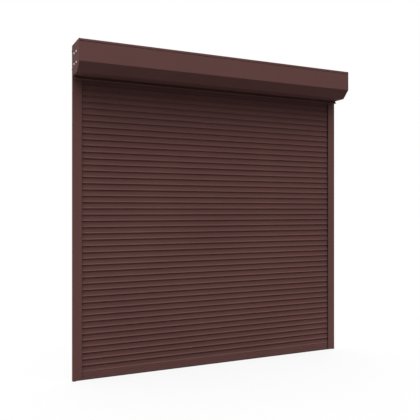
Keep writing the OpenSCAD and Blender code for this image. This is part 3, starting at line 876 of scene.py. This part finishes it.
@dataclass
class ShutterBox(SubAssembly):
    """The box over the curtain: two folded covers on two end plates."""

    fasteners: Fasteners = Fasteners()
    half_w: float = 938.0
    cover_x: float = 934.9
    rim_x: float = 928.0
    wall_y: float = 11.0
    front_y: float = -169.0
    top_z: float = 1960.0
    slope: float = 53.0
    strip_h: float = 13.0
    sheet: float = 1.2
    bend: float = 2.4
    tuck: float = 1.3
    seam: float = 3.0
    seam_bend: float = 0.8
    joggle: float = 4.2
    joggle_bend: float = 0.4
    lip_y: float = -25.0
    lip_lean: float = 14.0
    lip_drop: float = 18.0
    lip_bend: float = 1.5
    fold_y: float = -19.0
    fold_bend: float = 1.0
    axis_y: float = -79.0
    axis_z: float = 1870.0
    bolt_y: float = 27.0
    bolt_z: float = 31.0
    rivet_y: float = 45.0
    rivet_rise: float = 12.0
    cover_grip: float = 3.3
    ear_y: float = 2.8
    ear_d: float = 14.0
    ear_w: float = 18.0
    ear_z: Span = (1926.0, 1820.0)
    ear_soft: float = 0.3
    ear_head: float = 3.5
    ear_grip: float = 4.3
    outlet_x: float = -895.0
    outlet_z: float = 1915.0
    outlet_r: float = 7.1
    outlet_sides: int = 48
    plate_ease: float = 0.5
    grommet_ease: float = 0.3

    def build(self) -> None:
        """Builds the covers and the fasteners."""
        self.build_rear()
        self.build_front()
        self.build_rivets()
        self.build_bolts()

    def build_rear(self) -> None:
        """Builds the rear cover: back with the cable outlet, top, folded strip and rivet ears."""
        folds = [
            (self.wall_y, BASE_Z), (self.wall_y, self.top_z, self.bend),
            (self.front_y, self.top_z, self.bend), (self.front_y, self.top_z - self.strip_h),
        ]
        shape = Shape().skin(folds, (-self.cover_x, self.cover_x))
        outlet = (self.outlet_x, self.wall_y, self.outlet_z)
        shape.pierce(outlet, self.outlet_r, self.outlet_sides)
        shape.thicken(self.sheet)
        for side in Side:
            xs = sorted(side.value * x for x in (self.cover_x - self.sheet, self.cover_x))
            for z in self.ear_z:
                low = (xs[0], self.ear_y - self.ear_d / 2.0, z - self.ear_w / 2.0)
                high = (xs[1], self.wall_y - self.sheet / 2.0, z + self.ear_w / 2.0)
                shape.block(low, high, self.ear_soft)
        self.piece(shape, "box_rear_sheet", Look.COATING, "rear_cover")

    def build_front(self) -> None:
        """Builds the front cover: tongue, front, slope, underside, leaning lip and its fold."""
        front, inner = self.front_y, self.front_y + self.joggle
        seam_z, lip_z = self.top_z - self.strip_h - self.seam, BASE_Z - self.lip_drop
        folds = [
            (inner, self.top_z - self.tuck), (inner, seam_z, self.joggle_bend),
            (front, seam_z, self.seam_bend), (front, BASE_Z + self.slope, self.bend),
            (front + self.slope, BASE_Z, self.bend), (self.lip_y, BASE_Z, self.lip_bend),
            (self.lip_y - self.lip_lean, lip_z, self.fold_bend), (self.fold_y, lip_z),
        ]
        shape = Shape().skin(folds, (-self.cover_x, self.cover_x))
        shape.thicken(self.sheet)
        self.piece(shape, "box_front_sheet", Look.COATING, "front_cover")

    def build_rivets(self) -> None:
        """Builds the rivets of the covers and of the ears."""
        covers, ears, sizes = Shape(), Shape(), self.fasteners
        slope_at = (self.front_y + self.slope - self.rivet_rise, BASE_Z + self.rivet_rise)
        for side in Side:
            x = side.value * self.rim_x
            spots = [
                ((x, self.axis_y - self.rivet_y, self.top_z), (0.0, 0.0, 1.0)),
                ((x, self.axis_y + self.rivet_y, self.top_z), (0.0, 0.0, 1.0)),
                ((x, *slope_at), (0.0, -1.0, -1.0)),
                ((x, self.axis_y, BASE_Z), (0.0, 0.0, -1.0)),
            ]
            for at, towards in spots:
                sizes.rivet(covers, self.cover_grip, sizes.rivet_h, pointing(at, towards))
            for z in self.ear_z:
                place = self.on_plate(side, self.ear_y, z)
                sizes.rivet(ears, self.ear_grip, self.ear_head, place)
        self.piece(covers, "cover_rivet_set", Look.COATING, "cover_rivets")
        self.piece(ears, "ear_rivet_set", Look.COATING, "ear_rivets")

    def build_bolts(self) -> None:
        """Builds the bright bolts that hold the brackets of the shaft."""
        shape = Shape()
        for side in Side:
            for y in (self.axis_y - self.bolt_y, self.axis_y + self.bolt_y):
                for z in (self.axis_z - self.bolt_z, self.axis_z + self.bolt_z):
                    self.fasteners.bolt(shape, self.on_plate(side, y, z))
        self.piece(shape, "bracket_bolt_set", Look.BRIGHT, "bracket_bolts")

    def on_plate(self, side: Side, y: float, z: float) -> Matrix:
        """Gives the place of a fastener on the outside of an end plate."""
        return pointing((side.value * self.half_w, y, z), (side.value, 0.0, 0.0))

    def dress(self) -> None:
        """Dresses the end plates and the grommet of the cable outlet."""
        plates = ["left_end_cap", "right_end_cap"]
        self.dress_nodes(Look.COATING, plates, self.plate_ease)
        self.dress_nodes(Look.RUBBER, ["cable_grommet"], self.grommet_ease)


@dataclass(frozen=True)
class Tongue:
    """The hooked tongue on top of a slat or of the bottom bar. Sizes in millimetres."""

    front_y: float
    rear_y: float = 1.8
    hook_y: float = -1.3
    hook_low: float = 3.0
    hook_high: float = 4.4
    hook_soft: float = 0.4
    rear_gap: float = 0.8

    def section(self, root_z: float, seat_z: float) -> Section:
        """Gives the tongue's corners, from its front root over its hook to its rear root.

        Args:
            root_z: where its front starts.
            seat_z: where the slat above starts.

        Returns:
            The corners.
        """
        low, high = seat_z + self.hook_low, seat_z + self.hook_high
        return [
            (self.front_y, root_z), (self.front_y, low), (self.hook_y, low),
            (self.hook_y, high, self.hook_soft), (self.rear_y, high, self.hook_soft),
            (self.rear_y, seat_z - self.rear_gap),
        ]


@dataclass
class Curtain(SubAssembly):
    """The slats, in sets that move together."""

    tongue: Tongue = Tongue(front_y=0.5)
    sets: int = 12
    per_set: int = 4
    wall: float = 1.0
    relief: float = 2.6
    shoulder_z: float = 26.0
    shoulder_soft: float = 0.3
    knee_z: float = 8.0
    knee_soft: float = 2.2
    nose_z: float = 2.2
    nose_soft: Span = (0.7, 0.55)
    rear_soft: float = 0.5
    groove_z: float = 5.6
    groove_y: Span = (-1.9, 2.4)
    shelf_z: float = 1.6
    shelf_y: float = -0.4
    hollow_toe: float = 1.0
    hollow_knee: float = 0.5
    hollow_knee_soft: float = 2.0
    hollow_soft: float = 0.3

    def outline(self) -> Section:
        """Gives the section of a slat: nose, face, tongue, back and groove for the slat below.

        Returns:
            The corners.
        """
        half, top_y = SLAT_HALF_T, self.relief - SLAT_HALF_T
        front = [
            (self.shelf_y, 0.0), (-half, 0.0, self.nose_soft[0]),
            (-half, self.nose_z, self.nose_soft[1]), (top_y, self.knee_z, self.knee_soft),
            (top_y, self.shoulder_z, self.shoulder_soft),
        ]
        rear_z = SLAT_PITCH - self.tongue.rear_gap
        near, far = self.groove_y
        rear = [
            (half, rear_z, self.rear_soft), (half, 0.0, self.rear_soft), (far, 0.0),
            (far, self.groove_z), (near, self.groove_z), (near, self.shelf_z),
            (self.shelf_y, self.shelf_z),
        ]
        return front + self.tongue.section(self.shoulder_z, SLAT_PITCH) + rear

    def hollow(self) -> Section:
        """Gives the hollow inside a slat.

        Returns:
            The corners.
        """
        front, rear = self.relief - SLAT_HALF_T + self.wall, SLAT_HALF_T - self.wall
        low, high = self.groove_z + self.wall, self.shoulder_z - self.wall
        soft = self.hollow_soft
        return [
            (front - self.hollow_toe, low, soft),
            (front, self.knee_z + self.hollow_knee, self.hollow_knee_soft),
            (front, high, soft), (rear, high, soft), (rear, low, soft),
        ]

    def build(self) -> None:
        """Builds every set of slats on its own body."""
        sections = [self.outline(), self.hollow()]
        for index in range(self.sets):
            shape = Shape().bar(sections, (-SLAT_END_X, SLAT_END_X))
            shape.slide(shape.bm.verts, z=SEAT_Z + index * self.per_set * SLAT_PITCH)
            first = [*shape.bm.verts, *shape.bm.edges, *shape.bm.faces]
            for step in range(1, self.per_set):
                copy = bmesh.ops.duplicate(shape.bm, geom=first)["geom"]
                shape.slide(copy, z=step * SLAT_PITCH)
            label = f"{index + 1:02d}"
            body = "curtain_end" if index == 0 else "slat_group_" + label
            self.piece(shape, "slat_set_" + label, Look.SLAT, "slats_" + label, body)

    def dress(self) -> None:
        """Dresses the clips on the slat ends."""
        clips = [f"slat_clips_{index + 1:02d}" for index in range(self.sets)]
        self.dress_nodes(Look.PLASTIC, clips)


@dataclass
class EndBar(SubAssembly):
    """The bottom bar with its rubber."""

    tongue: Tongue = Tongue(front_y=0.2)
    height: float = 40.0
    ribs: int = 3
    groove: float = 1.6
    flute: float = 1.7
    soft: float = 0.5
    wall: float = 1.6
    hollow_soft: float = 0.4
    slot_y: float = 1.6
    head_y: float = 2.8
    head_h: float = 2.5
    lift: float = 1.5
    gap: float = 0.2
    rubber_h: float = 4.7
    rubber_soft: float = 0.4
    foot_soft: float = 1.3
    slit_y: float = 0.6
    slit_z: float = 0.5
    slit_soft: float = 0.2
    barb_soft: float = 0.3
    plug_ease: float = 0.3

    def build(self) -> None:
        """Builds the bar and its rubber."""
        self.build_bar()
        self.build_rubber()

    def face(self) -> Section:
        """Gives the bar's front, with a flute between each two ribs.

        Returns:
            The corners from the bottom up.
        """
        low, step = self.rubber_h, self.height / self.ribs
        out, floor, half = -SLAT_HALF_T, self.groove - SLAT_HALF_T, self.flute / 2.0
        spots = [(out, low)]
        for index in range(1, self.ribs):
            line = low + index * step
            spots += [(out, line - half), (floor, line - half)]
            spots += [(floor, line + half), (out, line + half)]
        spots.append((out, low + self.height))
        return [(y, z, self.soft) for y, z in spots]

    def build_bar(self) -> None:
        """Builds the bar: ribbed front, tongue, flat back and the slot for the rubber."""
        half, low, top = SLAT_HALF_T, self.rubber_h, self.rubber_h + self.height
        neck_z, head_z = low + self.lift, low + self.lift + self.head_h
        back = [(half, SEAT_Z - self.tongue.rear_gap, self.soft), (half, low, self.soft)]
        slot = [(self.slot_y, low), (self.slot_y, neck_z), (self.head_y, neck_z)]
        slot.append((self.head_y, head_z))
        slot += [(-y, z) for y, z in reversed(slot)]
        rear = half - self.wall
        front, floor, roof = self.groove - rear, head_z + self.wall, top - self.wall
        room = [(front, floor), (front, roof), (rear, roof), (rear, floor)]
        hollow = [(y, z, self.hollow_soft) for y, z in room]
        outline = self.face() + self.tongue.section(top, SEAT_Z) + back + slot
        shape = Shape().bar([outline, hollow], (-SLAT_END_X, SLAT_END_X))
        self.piece(shape, "end_bar", Look.COATING, "bottom_bar", "curtain_end")

    def build_rubber(self) -> None:
        """Builds the rubber: a soft foot with a stem and a head in the bar's slot."""
        half, low, soft = SLAT_HALF_T, self.rubber_h - self.gap, self.rubber_soft
        stem, head = self.slot_y - self.gap, self.head_y - self.gap
        neck_z = self.rubber_h + self.lift + self.gap
        head_z = neck_z + self.head_h - 2.0 * self.gap
        outline = [
            (-half, low, soft), (-half, 0.0, self.foot_soft), (-self.slit_y, 0.0, self.slit_soft),
            (0.0, self.slit_z, self.slit_soft), (self.slit_y, 0.0, self.slit_soft),
            (half, 0.0, self.foot_soft), (half, low, soft), (stem, low), (stem, neck_z),
            (head, neck_z, self.barb_soft), (head, head_z, soft), (-head, head_z, soft),
            (-head, neck_z, self.barb_soft), (-stem, neck_z), (-stem, low),
        ]
        shape = Shape().bar([outline], (-MOUTH_X, MOUTH_X))
        self.piece(shape, "sill_rubber", Look.RUBBER, "bottom_seal", "curtain_end")

    def dress(self) -> None:
        """Dresses the plugs in the bar's ends."""
        self.dress_nodes(Look.PLASTIC, ["bar_end_plugs"], self.plug_ease)


@dataclass
class GuidePair(SubAssembly):
    """The two guide rails with their seals, inlets and feet."""

    rail_ease: float = 0.6
    trim_ease: float = 0.4
    low_z: float = 2.0
    root_x: float = 891.4
    tip_x: float = 883.8
    lip_y: float = 9.4
    trim_y: float = 10.7
    rest_y: float = 4.3
    back_y: float = 6.2
    soft: float = 0.5

    def section(self, sign: float) -> Section:
        """Gives the section of a seal, with the distance from the middle of the width as Z.

        Args:
            sign: -1 for the seal in front of the curtain, and 1 for the one behind it.

        Returns:
            The corners.
        """
        corners = [
            (self.lip_y, self.root_x), (self.lip_y, MOUTH_X), (self.trim_y, MOUTH_X),
            (self.trim_y, self.tip_x, self.soft), (self.rest_y, self.tip_x, self.soft),
            (self.rest_y, MOUTH_X), (self.back_y, self.root_x),
        ]
        return [(sign * y, *others) for y, *others in corners]

    def build(self) -> None:
        """Builds the seals over the edges of each mouth, before and behind the curtain."""
        upright = Matrix.Rotation(math.radians(-90.0), 4, "Y")
        turns = {Side.LEFT: upright, Side.RIGHT: Matrix.Rotation(math.pi, 4, "Z") @ upright}
        for side, turn in turns.items():
            pair = Shape()
            for sign in (-1.0, 1.0):
                pair.join(Shape().bar([self.section(sign)], (self.low_z, BASE_Z)), turn)
            name = side.name.lower()
            self.piece(pair, name + "_seal_pair", Look.RUBBER, name + "_guide_seals")

    def dress(self) -> None:
        """Dresses both rails and what they carry."""
        for side in Side:
            rail = side.name.lower() + "_guide_"
            self.dress_nodes(Look.COATING, [rail + "rail"], self.rail_ease)
            trim = [rail + "inlet", rail + "foot"]
            self.dress_nodes(Look.PLASTIC, trim, self.trim_ease)


@dataclass
class Drive(SubAssembly):
    """The shaft with its motor, its bearing and its straps."""

    ease: float = 0.4

    def dress(self) -> None:
        """Dresses what turns and what carries it."""
        bright = [
            "output_shaft", "idler_pin", "bearing_outer_ring", "bearing_inner_ring",
            "bearing_balls", "shaft_screws", "strap_rivets",
        ]
        rows = [
            (Look.ZINC, ["motor_bracket", "idler_bracket", "shaft_tube"], self.ease),
            (Look.ZINC, ["hanger_straps"], 0.0),
            (Look.MOTOR, ["motor_tube"], self.ease),
            (Look.PLASTIC, ["motor_head", "drive_wheel", "crown_ring", "idler_plug"], self.ease),
            (Look.BRIGHT, bright, 0.0),
        ]
        for row in rows:
            self.dress_nodes(*row)


@dataclass
class Studio:
    """Floor, light and camera. Lengths in metres, lens and sensor in millimetres."""

    camera_at: tuple[float, float, float] = (-1.682, -3.416, 0.9997)
    camera_yaw: float = -25.56
    lens: float = 50.0
    sensor: float = 36.0
    sky: float = 8.0
    rise: float = 2.6
    pale: float = 0.31
    glow: float = 0.86
    bounce: float = 0.145
    floor_r: float = 60.0
    floor_z: float = -0.0006
    floor_sides: int = 64

    def build(self) -> None:
        """Builds the floor, the sky and the camera."""
        scene = bpy.context.scene
        scene.view_settings.view_transform = "Standard"
        scene.world = self.build_sky()
        self.build_floor()
        scene.camera = self.build_camera()

    @staticmethod
    def seen(graph: Graph) -> Socket:
        """Tells where a surface is seen, straight, in a gloss or through glass.

        Args:
            graph: the nodes that the answer goes into.

        Returns:
            1 where it is seen, and 0 where it lights others.
        """
        path = graph.node("LightPath")
        direct = graph.math("MAXIMUM", path["Is Camera Ray"], path["Is Glossy Ray"])
        return graph.math("MAXIMUM", direct, path["Is Transmission Ray"])

    def build_sky(self) -> bpy.types.World:
        """Builds a soft sky, brightest overhead, that is white where it is seen.

        Returns:
            The world.
        """
        world = bpy.data.worlds.new("soft_sky")
        world.use_nodes = True
        world.node_tree.nodes.clear()
        graph = Graph(world.node_tree)
        height = graph.part(graph.node("TexCoord")["Generated"], "Z")
        rise = graph.math("POWER", graph.math("MAXIMUM", height, 0.0), self.rise)
        glow = graph.math("MULTIPLY", rise, self.sky)
        light = graph.node("Background", {"Color": WHITE, "Strength": glow})[0]
        white = graph.node("Background", {"Color": WHITE, "Strength": 1.0})[0]
        graph.node("OutputWorld", {"Surface": graph.either(self.seen(graph), light, white)})
        return world

    def build_floor(self) -> bpy.types.Object:
        """Builds a plain pale floor that keeps the shadow and throws little light back.

        Returns:
            The floor.
        """
        shape = Shape()
        place = Matrix.Translation((0.0, 0.0, self.floor_z))
        bmesh.ops.create_circle(
            shape.bm, cap_ends=True, radius=self.floor_r, segments=self.floor_sides, matrix=place
        )
        mesh = bpy.data.meshes.new("studio_floor")
        shape.bm.to_mesh(mesh)
        shape.bm.free()
        floor = bpy.data.objects.new("studio_floor", mesh)
        bpy.context.scene.collection.objects.link(floor)
        mesh.materials.append(self.build_paper())
        return floor

    def build_paper(self) -> bpy.types.Material:
        """Builds the floor's material: pale where it is seen, and darker where it lights others.

        Returns:
            The material.
        """
        material = bpy.data.materials.new("pale_floor")
        material.use_nodes = True
        material.node_tree.nodes.clear()
        graph = Graph(material.node_tree)
        dim = graph.node("BsdfDiffuse", {"Color": rgba((self.bounce,) * 3)})[0]
        pale = graph.node("BsdfDiffuse", {"Color": rgba((self.pale,) * 3)})[0]
        white = graph.node("Emission", {"Color": WHITE, "Strength": 1.0})[0]
        clean = graph.either(self.glow, pale, white)
        graph.node("OutputMaterial", {"Surface": graph.either(self.seen(graph), dim, clean)})
        return material

    def build_camera(self) -> bpy.types.Object:
        """Builds the camera, level and left of the middle.

        Returns:
            The camera.
        """
        data = bpy.data.cameras.new("view")
        data.lens = self.lens
        data.sensor_width = self.sensor
        data.dof.use_dof = False
        camera = bpy.data.objects.new("view", data)
        bpy.context.scene.collection.objects.link(camera)
        camera.location = self.camera_at
        camera.rotation_euler = (math.radians(90.0), 0.0, math.radians(self.camera_yaw))
        return camera


def main() -> None:
    """Builds and dresses every sub-assembly in order."""
    logging.basicConfig(level=logging.INFO, format="%(name)s: %(message)s")
    Studio().build()
    Effects().build()
    materials = {finish.look: finish.build() for finish in FINISHES}
    for assembly in (ShutterBox, Curtain, EndBar, GuidePair, Drive):
        part = assembly(materials)
        part.build()
        part.dress()


if __name__ == "__main__":
    main()
